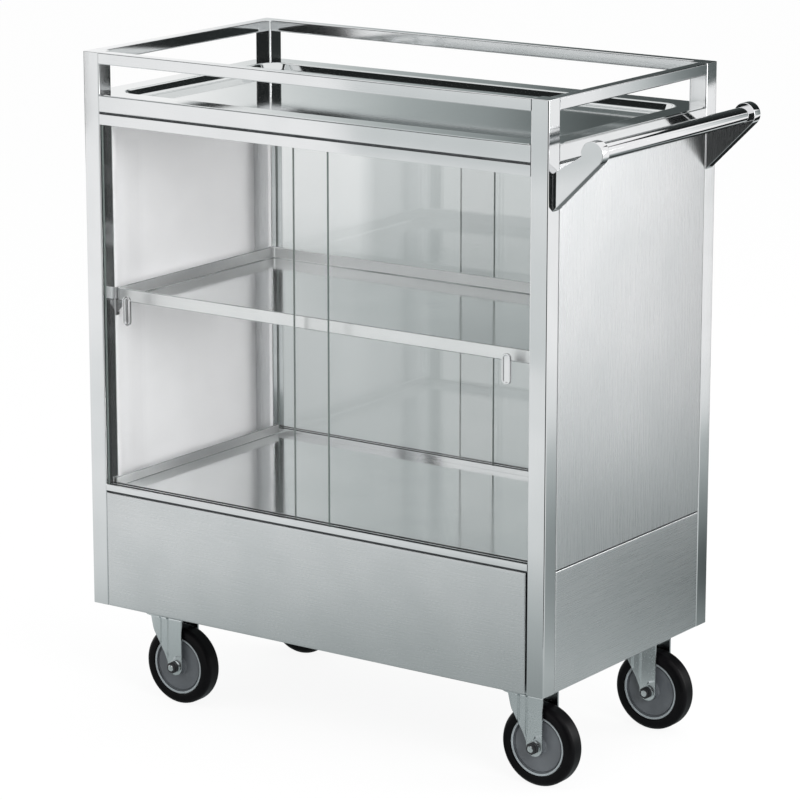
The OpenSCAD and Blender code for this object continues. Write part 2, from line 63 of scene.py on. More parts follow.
def roundedLoop(width, depth, radius, steps=6):
    # rounded rectangle: four quarter arcs, centre + radius * (cos a, sin a), joined by straights
    angle = (quarter(steps)[None, :] + np.arange(4)[:, None] * math.pi / 2).ravel()
    signX, signY = (np.repeat(s, steps + 1) for s in ([1, -1, -1, 1], [1, 1, -1, -1]))
    return np.stack([signX * (width / 2 - radius) + radius * np.cos(angle),
                     signY * (depth / 2 - radius) + radius * np.sin(angle)], 1)


def filletOutline(corners, radii, steps=5):
    # polygon whose corners become arcs: centre + radius * (cos a, sin a), a between the sides' normals
    p = np.array(corners, float)
    r = np.broadcast_to(np.array(radii, float), len(p))[:, None]
    back, ahead = np.roll(p, 1, 0) - p, np.roll(p, -1, 0) - p
    back /= np.linalg.norm(back, axis=1, keepdims=True)
    ahead /= np.linalg.norm(ahead, axis=1, keepdims=True)
    half = np.arccos(np.clip((back * ahead).sum(1), -1, 1))[:, None] / 2
    middle = back + ahead
    middle /= np.linalg.norm(middle, axis=1, keepdims=True)
    centre = p + middle * r / np.sin(half)
    start = p + back * r / np.tan(half) - centre
    end = p + ahead * r / np.tan(half) - centre
    a0 = np.arctan2(start[:, 1], start[:, 0])[:, None]
    turn = np.arctan2(start[:, 0] * end[:, 1] - start[:, 1] * end[:, 0], (start * end).sum(1))[:, None]
    a = a0 + turn * np.linspace(0, 1, steps + 1)[None, :]
    arc = centre[:, None, :] + r[:, :, None] * np.stack([np.cos(a), np.sin(a)], -1)
    return arc.reshape(-1, 2)


def along(axis, flat, height):
    # lays flat (x, y) points at heights along an axis
    h = np.broadcast_to(height, flat.shape[:-1])
    u, v = flat[..., 0], flat[..., 1]
    return np.stack({"x": [h, u, v], "y": [u, h, v], "z": [u, v, h]}[axis], -1)


def skin(rows, ring=False):
    # grid of closed loops joined row by row, with flat ends, or joined round to its first row
    count, cols = rows.shape[:2]
    i = np.arange(count if ring else count - 1)[:, None]
    j = np.arange(cols)[None, :]
    k, n = (i + 1) % count, (j + 1) % cols
    faces = np.stack([i * cols + j, i * cols + n, k * cols + n, k * cols + j], -1).reshape(-1, 4).tolist()
    if not ring:
        faces += [list(range(cols)), list(range((count - 1) * cols, count * cols))]
    return rows.reshape(-1, 3), faces


def spun(profile, axis, centre, count=96):
    # surface of revolution: radius(t) * (cos a, sin a) about an axis, height(t) along it
    a = np.linspace(0, 2 * math.pi, count, endpoint=False)
    p = np.array(profile, float)
    flat = p[:, None, 0, None] * np.stack([np.cos(a), np.sin(a)], -1)[None]
    return skin(along(axis, flat, p[:, 1, None]) + np.array(centre), ring=True)


def fromStart(profile, start, side=1):
    # profile of (radius, height) in millimetres, its heights counted from a start, up or down
    return np.array(profile, float) * np.array([mm, side * mm]) + np.array([0, start])


def slab(outline, axis, low, high):
    # closed outline carried straight along an axis
    rows = np.stack([np.asarray(outline)] * 2)
    return skin(along(axis, rows, np.array([low, high])[:, None]))


def easedBlock(low, high, axis, radius, ease, steps=3):
    # block with rounded long edges, whose two ends shrink by a quarter arc of the ease
    u, v = {"x": (1, 2), "y": (0, 2), "z": (0, 1)}[axis]
    w = "xyz".index(axis)
    q = quarter(steps)
    inset = np.concatenate([ease * (1 - np.sin(q)), ease * (1 - np.cos(q))])
    height = np.concatenate([low[w] + ease * (1 - np.cos(q)), high[w] - ease * (1 - np.sin(q))])
    rows = np.stack([roundedLoop(high[u] - low[u] - 2 * s, high[v] - low[v] - 2 * s, max(radius - s, leastRadius))
                     for s in inset])
    middle = np.array([(low[u] + high[u]) / 2, (low[v] + high[v]) / 2])
    return skin(along(axis, rows + middle, height[:, None]))


def hexBody(width, low, high, axis, centre, chamfer=30, flatShare=0.97, count=72):
    # hexagon radius(a) = half / cos(a within 30 deg), its corners cut by a cone at one end
    a = np.linspace(0, 2 * math.pi, count, endpoint=False)
    corner = width / 2 / np.cos((a + math.pi / 6) % (math.pi / 3) - math.pi / 6)
    inner = width / 2 * flatShare
    drop = (corner - inner) * math.tan(math.radians(chamfer)) * np.sign(high - low)
    radii = np.stack([corner, corner, np.full(count, inner)])
    heights = np.stack([np.full(count, low), high - drop, np.full(count, high)])
    flat = radii[..., None] * np.stack([np.cos(a), np.sin(a)], -1)[None]
    return skin(along(axis, flat, heights) + np.array(centre))


def addPiece(name, shapes, material, body, nodes=(), bevel=0.0, wall=0.0, sharp=35):
    # merges shapes into one mesh with its normals outward, then gives it its finishing modifiers
    points, faces, start = [], [], 0
    for p, f in shapes:
        points.append(p)
        faces += [[i + start for i in face] for face in f]
        start += len(p)
    mesh = bpy.data.meshes.new(name)
    mesh.from_pydata(np.concatenate(points).tolist(), [], faces)
    work = bmesh.new()
    work.from_mesh(mesh)
    bmesh.ops.remove_doubles(work, verts=work.verts, dist=1e-6)
    bmesh.ops.recalc_face_normals(work, faces=work.faces)
    work.to_mesh(mesh)
    work.free()
    piece = bpy.data.objects.new(name, mesh)
    bpy.context.scene.collection.objects.link(piece)
    for m in material if isinstance(material, (list, tuple)) else [material]:
        mesh.materials.append(m)
    mesh.shade_smooth()
    if wall:
        solid = piece.modifiers.new("wall", "SOLIDIFY")
        solid.thickness, solid.offset, solid.use_even_offset = wall, -1, True
    if bevel:
        edge = piece.modifiers.new("easedEdges", "BEVEL")
        edge.width, edge.segments, edge.limit_method = bevel, 2, "ANGLE"
        edge.angle_limit, edge.miter_outer = math.radians(40), "MITER_ARC"
        edge.use_clamp_overlap = True
    else:
        mesh.set_sharp_from_angle(angle=math.radians(sharp))
    flat = piece.modifiers.new("flatFaces", "WEIGHTED_NORMAL")
    flat.keep_sharp = not bevel
    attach(piece, body)
    if nodes:
        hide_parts(*nodes)
    return piece


def paintFaces(piece, kind, chosen):
    # gives the piece's second finish to the faces that are chosen by their centres or normals
    values = np.zeros(len(piece.data.polygons) * 3)
    piece.data.polygons.foreach_get(kind, values)
    piece.data.polygons.foreach_set("material_index", chosen(values.reshape(-1, 3)).astype(np.int32))


# materials

def linear(hexColour):
    # sRGB hex to linear colour
    c = np.array([int(hexColour[i:i + 2], 16) for i in (0, 2, 4)]) / 255
    c = np.where(c <= 0.04045, c / 12.92, ((c + 0.055) / 1.055) ** 2.4)
    return (*c.tolist(), 1.0)


def addNode(tree, kind, settings=None, links=None):
    # shader node with its properties or inputs set, and its other inputs linked to outputs of earlier nodes
    node = tree.nodes.new(f"ShaderNode{kind}")
    for key, value in (settings or {}).items():
        if isinstance(key, str) and hasattr(node, key):
            setattr(node, key, value)
        else:
            node.inputs[key].default_value = value
    for key, source in (links or {}).items():
        tree.links.new(source, node.inputs[key])
    return node


def newMaterial(name):
    material = bpy.data.materials.new(name)
    material.use_nodes = True
    material.node_tree.nodes.clear()
    return material, material.node_tree


def shaded(material, surface):
    # the finished material, its surface joined to the output
    addNode(material.node_tree, "OutputMaterial", links={"Surface": surface})
    return material


def objectPattern(tree, scale, settings=None):
    # noise on Object coordinates, with a scale per metre: one number, or one for each axis
    place = addNode(tree, "TexCoord").outputs["Object"]
    scales = np.broadcast_to(scale, 3).tolist()
    stretch = addNode(tree, "Mapping", {"Scale": scales}, {"Vector": place}).outputs["Vector"]
    wanted = {"Scale": 1.0, "Detail": 3.0, "Roughness": 0.55, **(settings or {})}
    return addNode(tree, "TexNoise", wanted, {"Vector": stretch}).outputs["Fac"]


def ramp(tree, source, low, high, fromLow=0.3, fromHigh=0.7):
    # one range mapped to another; noise lies mostly between 0.3 and 0.7
    return addNode(tree, "MapRange", {"From Min": fromLow, "From Max": fromHigh, "To Min": low,
                                                "To Max": high}, {"Value": source}).outputs["Result"]


def mixedColour(tree, factor, first, second):
    # of two colours, each a hex text or an output; a mix of colours uses inputs 6 and 7 and output 2
    mix = addNode(tree, "Mix", {"data_type": "RGBA"}, {0: factor})
    for index, value in ((6, first), (7, second)):
        if isinstance(value, str):
            mix.inputs[index].default_value = linear(value)
        else:
            tree.links.new(value, mix.inputs[index])
    return mix.outputs[2]


# Stainless 304. A brushed sheet keeps fine straight scratches that spread a reflection across them; a polished
# tube mirrors what is round it. Scratches per metre are grain across and length along, bumps are in millimetres
brushedLook = {"light": "e4e5e6", "dark": "d3d6d7", "rough": (0.25, 0.32), "grain": 1600, "length": 14,
               "scratch": 0.0035, "wave": 0.0, "smear": 0.15, "along": "x"}
tubeLook = {"light": "e9eaeb", "dark": "dcdedf", "rough": (0.05, 0.10), "grain": 2200, "length": 12,
            "scratch": 0.006, "wave": 0.02, "smear": 0.5, "along": "x"}
steelFinishes = {
    "brushedSheet": brushedLook,
    "brushedPanel": {**brushedLook, "along": "z"},
    "brushedEnd": {**brushedLook, "along": "y"},
    "polishedTray": {**brushedLook, "light": "ebeded", "dark": "e0e3e3", "rough": (0.08, 0.14), "scratch": 0.006},
    "satinEdge": {**brushedLook, "light": "f5f6f6", "dark": "eceeee", "rough": (0.3, 0.38), "scratch": 0.003},
    "polishedTubeUpright": {**tubeLook, "along": "z"},
    "polishedTubeLong": tubeLook,
    "polishedTubeCross": {**tubeLook, "along": "y"},
    "mirrorSheet": {**tubeLook, "light": "e3e5e5", "dark": "d9dcdc", "rough": (0.04, 0.09), "grain": 1800,
                    "length": 10, "scratch": 0.004, "wave": 0.06},
    "chromeBright": {**tubeLook, "light": "efeff0", "dark": "e4e5e6", "rough": (0.03, 0.06), "grain": 900,
                     "length": 900, "scratch": 0.001, "wave": 0.01},
    "zincPlated": {**tubeLook, "light": "e3e7e8", "dark": "d3d8da", "rough": (0.2, 0.3), "grain": 420,
                   "length": 420, "scratch": 0.001, "wave": 0.01}}
# the same in every finish: uneven polish and a wavy sheet per metre, and how far polish and scratches darken it
steelPattern = {"clouds": 9, "waves": 7, "cloudShare": 0.6, "scratchShare": 0.35}


def steel(name):
    look = steelFinishes[name]
    material, tree = newMaterial(name)
    scale = [look["length"] if a == look["along"] else look["grain"] for a in "xyz"]
    grain = objectPattern(tree, scale)
    cloud = objectPattern(tree, steelPattern["clouds"], {"Detail": 2.0})
    colour = mixedColour(tree, ramp(tree, cloud, 0.0, steelPattern["cloudShare"]), look["light"], look["dark"])
    colour = mixedColour(tree, ramp(tree, grain, 0.0, steelPattern["scratchShare"]), colour, look["dark"])
    low, high = look["rough"]
    smear = addNode(tree, "Math", {"operation": "MULTIPLY", 1: look["smear"]}, {0: cloud}).outputs[0]
    smear = addNode(tree, "Math", {"operation": "MULTIPLY_ADD", 1: 1 - look["smear"]},
                    {0: grain, 2: smear}).outputs[0]
    wave = addNode(tree, "Bump", {"Strength": 1.0, "Distance": look["wave"] * mm},
                   {"Height": objectPattern(tree, steelPattern["waves"], {"Detail": 1.0})}).outputs["Normal"]
    scratches = addNode(tree, "Bump", {"Strength": 1.0, "Distance": look["scratch"] * mm},
                        {"Height": grain, "Normal": wave}).outputs["Normal"]
    shader = addNode(tree, "BsdfPrincipled", {"Metallic": 1.0},
                     {"Base Color": colour, "Roughness": ramp(tree, smear, low, high), "Normal": scratches})
    return shaded(material, shader.outputs[0])


# Float glass, 5 mm: clear and colourless face on. Plain glass has an IOR of 1.52: the front panes have a low-glare
# coat and shine less than that, and the rear ones shine a little more
glassLook = {"tint": "fefefe", "ior": {"front": 1.28, "rear": 1.68}, "smear": 16, "blur": 0.02}


def floatGlass(side):
    material, tree = newMaterial(f"floatGlass{side.capitalize()}")
    ior = glassLook["ior"][side]
    # rays go straight through, so the inner side of each face gets the same share of gloss as the outer
    behind = addNode(tree, "NewGeometry").outputs["Backfacing"]
    ratio = ramp(tree, behind, ior, 1 / ior, 0.0, 1.0)
    shine = addNode(tree, "Fresnel", links={"IOR": ratio}).outputs[0]
    clear = addNode(tree, "BsdfTransparent", {"Color": linear(glassLook["tint"])}).outputs[0]
    smear = objectPattern(tree, glassLook["smear"], {"Detail": 2.0})
    gloss = addNode(tree, "BsdfAnisotropic", {"Color": linear("ffffff")},
                    {"Roughness": ramp(tree, smear, 0.0, glassLook["blur"])}).outputs[0]
    return shaded(material, addNode(tree, "MixShader", links={0: shine, 1: clear, 2: gloss}).outputs[0])


def mottled(name, grain, light, dark, settings):
    # a surface whose colour wanders between two tones
    material, tree = newMaterial(name)
    colour = mixedColour(tree, ramp(tree, objectPattern(tree, grain), 0, 1), light, dark)
    return shaded(material, addNode(tree, "BsdfPrincipled", settings, {"Base Color": colour}).outputs[0])


# Rubber, nylon and the panels' lining: a dull skin with fine grit and a little handling dust, both per metre
dust = 22
nylonLook = {"grit": 520, "bump": 0.02, "ior": 1.53, "shine": 0.5}
mouldedLooks = {
    "tyreRubber": {"light": "0b0a0c", "dark": "050506", "rough": (0.3, 0.42), "grit": 700, "bump": 0.05,
                   "ior": 1.52, "shine": 0.1},
    "hubNylon": {**nylonLook, "light": "575b5f", "dark": "494d51", "rough": (0.36, 0.5)},
    # the paler nylon of the ring next to the tyre is a painted highlight
    "paintedHighlightNylon": {**nylonLook, "light": "90979a", "dark": "838a8d", "rough": (0.3, 0.42)},
    "mattLining": {"light": "efeff0", "dark": "ebebec", "rough": (0.5, 0.6), "grit": 800, "bump": 0.01,
                   "ior": 1.5, "shine": 0.5},
    "plugNylon": {**nylonLook, "light": "232426", "dark": "17181a", "rough": (0.4, 0.55)}}


def moulded(name):
    look = mouldedLooks[name]
    material, tree = newMaterial(name)
    grit, cloud = objectPattern(tree, look["grit"]), objectPattern(tree, dust)
    colour = mixedColour(tree, ramp(tree, cloud, 0.0, 1.0), look["light"], look["dark"])
    bump = addNode(tree, "Bump", {"Strength": 0.6, "Distance": look["bump"] * mm},
                   {"Height": grit}).outputs["Normal"]
    shader = addNode(tree, "BsdfPrincipled", {"IOR": look["ior"], "Specular IOR Level": look["shine"]},
                     {"Base Color": colour, "Roughness": ramp(tree, cloud, *look["rough"]), "Normal": bump})
    return shaded(material, shader.outputs[0])


finish = {name: steel(name) for name in steelFinishes}
finish.update({name: moulded(name) for name in mouldedLooks})
finish.update({f"{side}Glass": floatGlass(side) for side in glassLook["ior"]})
# ground and polished glass edge: seen end on it is a dark grey-green line
finish["edge"] = mottled("groundGlassEdge", 900, "4d5654", "6b7572", {"Roughness": 0.3, "IOR": 1.5})
# painted shade: the faces in the shadow groove between a track and its neighbour are dark and dull
finish["weld"] = mottled("paintedGrooveShade", 60, "8e9092", "747678", {"Metallic": 1.0, "Roughness": 0.6})
print("materials made:", len(finish))


# posts and rails

postCorners = ("front_left", "front_right", "rear_left", "rear_right")
postLook = {"corner": 2.2 * mm, "wall": 1.5 * mm, "topEase": 1.0 * mm, "footEase": 0.3 * mm, "inside": 25 * mm}


def postShape(node):
    # tube: outer loop up to an eased, welded top; inner loop from the foot to the plug
    low, high, middle = nodeBox(node)
    side, wall, ease, foot = high[0] - low[0], postLook["wall"], postLook["topEase"], postLook["footEase"]
    q = quarter(3)
    inset = np.concatenate([[wall, wall, foot, 0, 0], ease * (1 - np.cos(q))[1:]])
    height = np.concatenate([[low[2] + postLook["inside"], low[2], low[2], low[2] + foot, high[2] - ease],
                             high[2] - ease + ease * np.sin(q)[1:]])
    rows = np.stack([roundedLoop(side - 2 * s, side - 2 * s, max(postLook["corner"] - s, foot)) for s in inset])
    return skin(along("z", rows + middle[:2], height[:, None]))


for corner in postCorners:
    addPiece(f"post_tube_{corner}", [postShape(f"post_{corner}")], finish["polishedTubeUpright"], "cart",
             [f"post_{corner}"])

plugLook = {"lip": 0.4 * mm, "corner": 1.2 * mm, "play": 0.3 * mm, "height": 18 * mm}
plugShapes = []
for corner in postCorners:
    low, high = nodeBox(f"post_{corner}")[:2]
    inner = postLook["wall"] + plugLook["play"]
    plugShapes.append(easedBlock(low + np.array([inner, inner, 0]),
                                 np.array([high[0] - inner, high[1] - inner, low[2] + plugLook["height"]]),
                                 "z", plugLook["corner"], plugLook["lip"]))
addPiece("foot_plugs", plugShapes, finish["plugNylon"], "cart", ["post_plugs"])

railLook = {"corner": 2.0 * mm, "steps": 5}
for group in ("gallery_rail", "deck_rail"):
    for side in ("front", "rear", "left", "right"):
        low, high, middle = nodeBox(f"{group}_{side}")
        axis = "x" if side in ("front", "rear") else "y"
        u, v = (1, 2) if axis == "x" else (0, 2)
        loop = roundedLoop(high[u] - low[u], high[v] - low[v], railLook["corner"], railLook["steps"]) + middle[[u, v]]
        w = "xyz".index(axis)
        addPiece(f"{group}_tube_{side}", [slab(loop, axis, low[w], high[w])],
                 finish["polishedTubeLong" if axis == "x" else "polishedTubeCross"], "cart",
                 [f"{group}_{side}"])
print("posts and rails made")


# serving deck

deckLook = {"margin": 33 * mm, "cornerRadius": 36 * mm, "depth": 14 * mm, "sheet": 1 * mm, "slope": 65,
            "mouthBend": 4 * mm, "floorBend": 8 * mm, "notch": 30.3 * mm, "floorIn": 20 * mm,
            "mouthSteps": 9, "floorSteps": 12, "cornerSteps": 24}


def deckShape():
    # loops of one family: a rounded rectangle shrunk by run(t) and sunk by fall(t), where run and fall
    # follow the mouth's bend, the sloping wall and the floor's bend; the underside is the same loops a
    # sheet's thickness away along the wall's normal
    d = deckLook
    low, high, middle = nodeBox("top_deck")
    size = (high - low)[:2]
    s = math.radians(d["slope"])
    slopeRun = (d["depth"] - (d["mouthBend"] + d["floorBend"]) * (1 - math.cos(s))) / math.sin(s)
    a = np.linspace(0, s, d["mouthSteps"])
    mouth = np.stack([d["mouthBend"] * np.sin(a), d["mouthBend"] * (1 - np.cos(a)), a], 1)
    wall = mouth[-1] + np.array([slopeRun * math.cos(s), slopeRun * math.sin(s), 0])
    b = np.linspace(s, 0, d["floorSteps"])
    floor = np.stack([wall[0] + d["floorBend"] * (math.sin(s) - np.sin(b)),
                      wall[1] + d["floorBend"] * (np.cos(b) - math.cos(s)), b], 1)
    path = np.concatenate([mouth, floor])
    arc = quarter(d["cornerSteps"])

    def family(run):
        return roundedLoop(size[0] - 2 * d["margin"] - 2 * run, size[1] - 2 * d["margin"] - 2 * run,
                           d["cornerRadius"] - run, d["cornerSteps"])

    # outer edge: each point of the mouth pushed straight out to the notched rectangle
    reach, step = d["margin"] + d["cornerRadius"], d["margin"] + d["cornerRadius"] - d["notch"]
    c, n = np.maximum(np.cos(arc), 1e-9), np.maximum(np.sin(arc), 1e-9)
    push = np.minimum(np.minimum(reach / c, reach / n), np.maximum(step / c, step / n))
    angle = (arc[None, :] + np.arange(4)[:, None] * math.pi / 2).ravel()
    centres = family(0) - d["cornerRadius"] * np.stack([np.cos(angle), np.sin(angle)], 1)
    outer = centres + np.tile(push, 4)[:, None] * np.stack([np.cos(angle), np.sin(angle)], 1)
    top, t = high[2], d["sheet"]
    rows = [along("z", family(path[-1, 0] + d["floorIn"]), top - path[-1, 1])]
    rows += [along("z", family(run), top - fall) for run, fall, _ in path[::-1]]
    rows += [along("z", outer, top), along("z", outer, top - t)]
    rows += [along("z", family(run - t * math.sin(turn)), top - fall - t * math.cos(turn))
             for run, fall, turn in path]
    rows += [along("z", family(path[-1, 0] + d["floorIn"]), top - path[-1, 1] - t)]
    return skin(np.stack(rows) + np.array([*middle[:2], 0]))


addPiece("serving_deck", [deckShape()], finish["mirrorSheet"], "cart", ["top_deck"], sharp=50)
print("serving deck made")


# door tracks and doors

# the last entry: how far past the web the groove's faces take the painted shade
trackLook = {"wall": 2.5 * mm, "channel": 7 * mm, "web": 3 * mm, "gap": 3 * mm, "groove": 7 * mm,
             "radius": 0.35 * mm, "weldFrom": 0.2 * mm}


def trackOutline(height):
    # three walls on a web, drawn inwards and away from the web, with the set-back strip behind the web
    t = trackLook
    w, c, b = t["wall"], t["channel"], t["web"]
    depth = 3 * w + 2 * c
    corners = [(0, 0), (t["groove"], 0), (t["groove"], -t["gap"]), (depth - t["groove"], -t["gap"]),
               (depth - t["groove"], 0), (depth, 0), (depth, height), (depth - w, height), (depth - w, b),
               (2 * w + c, b), (2 * w + c, height), (w + c, height), (w + c, b), (w, b), (w, height), (0, height)]
    return filletOutline(corners, t["radius"], 2)


for side, out in (("front", -1), ("rear", 1)):
    for kind in ("upper", "sill"):
        low, high = nodeBox(f"{kind}_track_{side}")[:2]
        face = low[1] if out < 0 else high[1]
        height = high[2] - low[2] - trackLook["gap"]
        web, up = (high[2] - trackLook["gap"], -1) if kind == "upper" else (low[2] + trackLook["gap"], 1)
        outline = trackOutline(height) * np.array([-out, up]) + np.array([face, web])
        track = addPiece(f"{kind}_door_track_{side}", [slab(outline, "x", low[0], high[0])],
                         [finish["polishedTubeLong"], finish["weld"]], "cart", [f"{kind}_track_{side}"])
        # the groove's faces past the web take the painted shade
        paintFaces(track, "center", lambda at: (at[:, 2] - web) * up < -trackLook["weldFrom"])

doorLook = {"ease": 0.7 * mm, "corner": 1.5 * mm}
pullLook = {"rim": 3 * mm, "floor": 0.8 * mm, "floorIn": 1.2 * mm, "floorBend": 0.6 * mm, "ease": 0.7 * mm,
            "steps": 14}


def pullShape(node, out):
    # stadium loops: out from the glass, over a rounded rim, down to the floor of the cup
    low, high, middle = nodeBox(node)
    width, height, thick = high[0] - low[0], high[2] - low[2], high[1] - low[1]
    back, e, rim, floor = (high[1] if out < 0 else low[1]), pullLook["ease"], pullLook["rim"], pullLook["floor"]
    q = quarter(4)
    inset = np.concatenate([[0], e * (1 - np.cos(q)), rim - e * (1 - np.sin(q)), [rim, rim + pullLook["floorIn"]]])
    rise = np.concatenate([[0], thick - e * (1 - np.sin(q)), thick - e * (1 - np.cos(q)),
                           [floor + pullLook["floorBend"], floor]])
    rows = np.stack([roundedLoop(width - 2 * s, height - 2 * s, (width - 2 * s) / 2 - leastRadius,
                                 pullLook["steps"]) for s in inset])
    return skin(along("y", rows + middle[[0, 2]], (back + out * rise)[:, None]))


for side, out in (("front", -1), ("rear", 1)):
    for hand in ("left", "right"):
        body = f"{side}_door_{hand}_body"
        low, high = nodeBox(f"{side}_door_{hand}")[:2]
        pane = addPiece(f"{side}_glass_{hand}", [easedBlock(low, high, "y", doorLook["corner"], doorLook["ease"], 2)],
                        [finish[f"{side}Glass"], finish["edge"]], body, [f"{side}_door_{hand}"])
        paintFaces(pane, "normal", lambda normal: np.abs(normal[:, 1]) < 0.9)
        addPiece(f"{side}_finger_pull_{hand}", [pullShape(f"{side}_pull_{hand}", out)], finish["chromeBright"], body,
                 [f"{side}_pull_{hand}"])
print("tracks and doors made")


# panels and skirts

panelLook = {"sheet": 1.2 * mm, "bend": 1.6 * mm, "hem": 8.5 * mm, "hemGap": 0.5 * mm, "depth": 30 * mm,
             "hemEdge": 0.3 * mm, "innerBend": 0.5 * mm, "play": 0.6 * mm, "lap": 0.1 * mm, "ledge": 45 * mm,
             "topFold": 20 * mm, "ledgeSheet": 1.5 * mm}


def panelShapes(node, out):
    # C-shaped section carried up, and the ledge and the top fold as bent strips carried along the depth
    p = panelLook
    low, high = nodeBox(node)[:2]
    face = high[0] if out > 0 else low[0]
    half, t, d, h, g = (high[1] - low[1]) / 2, p["sheet"], p["depth"], p["hem"], p["hemGap"] + p["sheet"]
    side = [(0, -half), (d, -half), (d, -half + h), (g, -half + h), (g, -half + h - t), (d - t, -half + h - t),
            (d - t, -half + t), (t, -half + t)]
    radii = [p["bend"]] * 3 + [p["hemEdge"]] * 2 + [p["innerBend"]] * 3
    outline = filletOutline(side + [(x, -y) for x, y in side[::-1]], radii + radii[::-1], 5)
    shapes = [slab(outline * np.array([-out, 1]) + np.array([face, 0]), "z", low[2], high[2])]
    fold = half - h - p["play"]
    for reach, z, up, thick in ((p["ledge"], low[2], 1, p["ledgeSheet"]), (p["topFold"], high[2], -1, t)):
        strip = np.array([(t, p["lap"]), (reach, p["lap"]), (reach, thick), (t + p["bend"], thick),
                          (t, thick + p["bend"])])
        shapes.append(slab(strip * np.array([-out, up]) + np.array([face, z]), "y", -fold, fold))
    return shapes


for hand, out in (("left", -1), ("right", 1)):
    panel = addPiece(f"folded_panel_{hand}", panelShapes(f"side_panel_{hand}", out),
                     [finish["brushedPanel"], finish["mattLining"]], "cart", [f"side_panel_{hand}"])
    paintFaces(panel, "normal", lambda normal: normal[:, 0] * out < -0.5)

skirtLook = {"sheet": 1.2 * mm, "bend": 1.4 * mm, "corner": 0.8 * mm, "flat": 4 * mm}


def skirtShapes(node, axis, out):
    # pan: loops from the back of the folds out over the bend to the face, then the same inside, and the two
    # flat sheets that close its face
    s = skirtLook
    low, high, middle = nodeBox(node)
    w, u = "xyz".index(axis), 1 if axis == "x" else 0
    face, back = (low[w], high[w]) if out < 0 else (high[w], low[w])
    inner, outerIn, innerIn = face - out * s["sheet"], s["bend"] + s["flat"], s["sheet"] + s["flat"]
    q = quarter(4)
    inset = np.concatenate([[0], s["bend"] * (1 - np.cos(q)), [outerIn, innerIn, s["sheet"], s["sheet"]]])
    place = np.concatenate([[back], face - out * s["bend"] * (1 - np.sin(q)), [face, inner, inner, back]])
    size = high[[u, 2]] - low[[u, 2]]
    rows = np.stack([roundedLoop(*(size - 2 * i), s["corner"], 3) for i in inset]) + middle[[u, 2]]
    shapes = [skin(along(axis, rows, place[:, None]), ring=True)]
    for flatIn, at in ((outerIn, face), (innerIn, inner)):
        loop = roundedLoop(*(size - 2 * flatIn), s["corner"], 3) + middle[[u, 2]]
        shapes.append((along(axis, loop, at), [list(range(len(loop)))]))
    return shapes


for side, axis, out in (("front", "y", -1), ("rear", "y", 1), ("left", "x", -1), ("right", "x", 1)):
    addPiece(f"folded_skirt_{side}", skirtShapes(f"skirt_{side}", axis, out),
             finish["brushedSheet" if axis == "y" else "brushedEnd"], "cart", [f"skirt_{side}"])
print("panels and skirts made")


# shelf and bottom deck; their raised edges keep the mill's satin, only the floors are polished

trayLook = {"sheet": 1.5 * mm, "lip": 3 * mm, "bend": 2 * mm, "corner": 8 * mm, "leastCorner": 0.4 * mm,
            "innerBend": 1.5 * mm, "floorIn": 20 * mm}


def shelfShape():
    # rounded rectangles: up the outside, over the rolled edge, down the inside, round the floor's bend
    t = trayLook
    low, high, middle = nodeBox("middle_shelf")
    size, r = (high - low)[:2], t["lip"] / 2
    q = np.linspace(0, math.pi, 9)
    b = quarter(4)
    inset = np.concatenate([[t["bend"] + t["floorIn"]], t["bend"] * (1 - np.sin(b)), r * (1 - np.cos(q)),
                            t["lip"] + t["bend"] * (1 - np.cos(b)), [t["lip"] + t["bend"] + t["floorIn"]]])
    place = np.concatenate([[low[2]], low[2] + t["bend"] * (1 - np.cos(b)), high[2] - r + r * np.sin(q),
                            low[2] + t["sheet"] + t["bend"] * (1 - np.sin(b)), [low[2] + t["sheet"]]])
    rows = np.stack([roundedLoop(*(size - 2 * s), max(t["corner"] - s, t["leastCorner"]), 8) for s in inset])
    return skin(along("z", rows + middle[:2], place[:, None]))


def bottomDeckShape():
    # a sheet whose two ends turn up into hemmed edges, its section carried along the depth
    t = trayLook
    low, high, middle = nodeBox("bottom_deck")
    half, h, lip = (high[0] - low[0]) / 2, high[2] - low[2], t["lip"]
    corners = [(-half, 0), (half, 0), (half, h), (half - lip, h), (half - lip, t["sheet"]),
               (-half + lip, t["sheet"]), (-half + lip, h), (-half, h)]
    top, inner = lip / 2 - leastRadius, t["innerBend"]
    outline = filletOutline(corners, [t["bend"], t["bend"], top, top, inner, inner, top, top], 6)
    return slab(outline + np.array([middle[0], low[2]]), "y", low[1], high[1])


for name, shape, node in (("shelf_tray", shelfShape(), "middle_shelf"),
                          ("bottom_tray", bottomDeckShape(), "bottom_deck")):
    tray = addPiece(name, [shape], [finish["polishedTray"], finish["satinEdge"]], "cart", [node],
                    sharp=50)
    paintFaces(tray, "normal", lambda normal: np.abs(normal[:, 2]) < 0.5)
for node, look in (("shelf_brackets", "chromeBright"), ("base_plate", "brushedSheet")):
    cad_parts[node].data.materials.clear()
    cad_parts[node].data.materials.append(finish[look])
print("shelf and bottom deck made")


# push handle

handleLook = {"reach": 64 * mm, "tip": 18 * mm, "footTop": 33 * mm, "footBottom": 88 * mm, "noseEnd": 195,
              "bevel": 0.9 * mm, "tubeWall": 1.5 * mm}


def bracketShape(node):
    # outline: foot corners on the post, then an arc round the tube's axis between the two tangents
    h = handleLook
    low, high = nodeBox(node)[:2]
    far = math.hypot(h["reach"], h["footBottom"])
    start = math.atan2(h["footBottom"], h["reach"]) - math.asin(h["tip"] / far) - math.pi / 2
    a = np.linspace(start, math.radians(h["noseEnd"]), 40)
    arc = np.stack([h["reach"] + h["tip"] * np.cos(a), h["tip"] * np.sin(a)], 1)
    outline = np.concatenate([[(0, -h["footBottom"])], arc, [(0, -h["footTop"])]])
    return slab(outline + np.array([low[0], high[2] - h["tip"]]), "y", low[1], high[1])


for side in ("front", "rear"):
    addPiece(f"handle_bracket_cast_{side}", [bracketShape(f"handle_bracket_{side}")], finish["chromeBright"], "cart",
             [f"handle_bracket_{side}"], bevel=handleLook["bevel"])

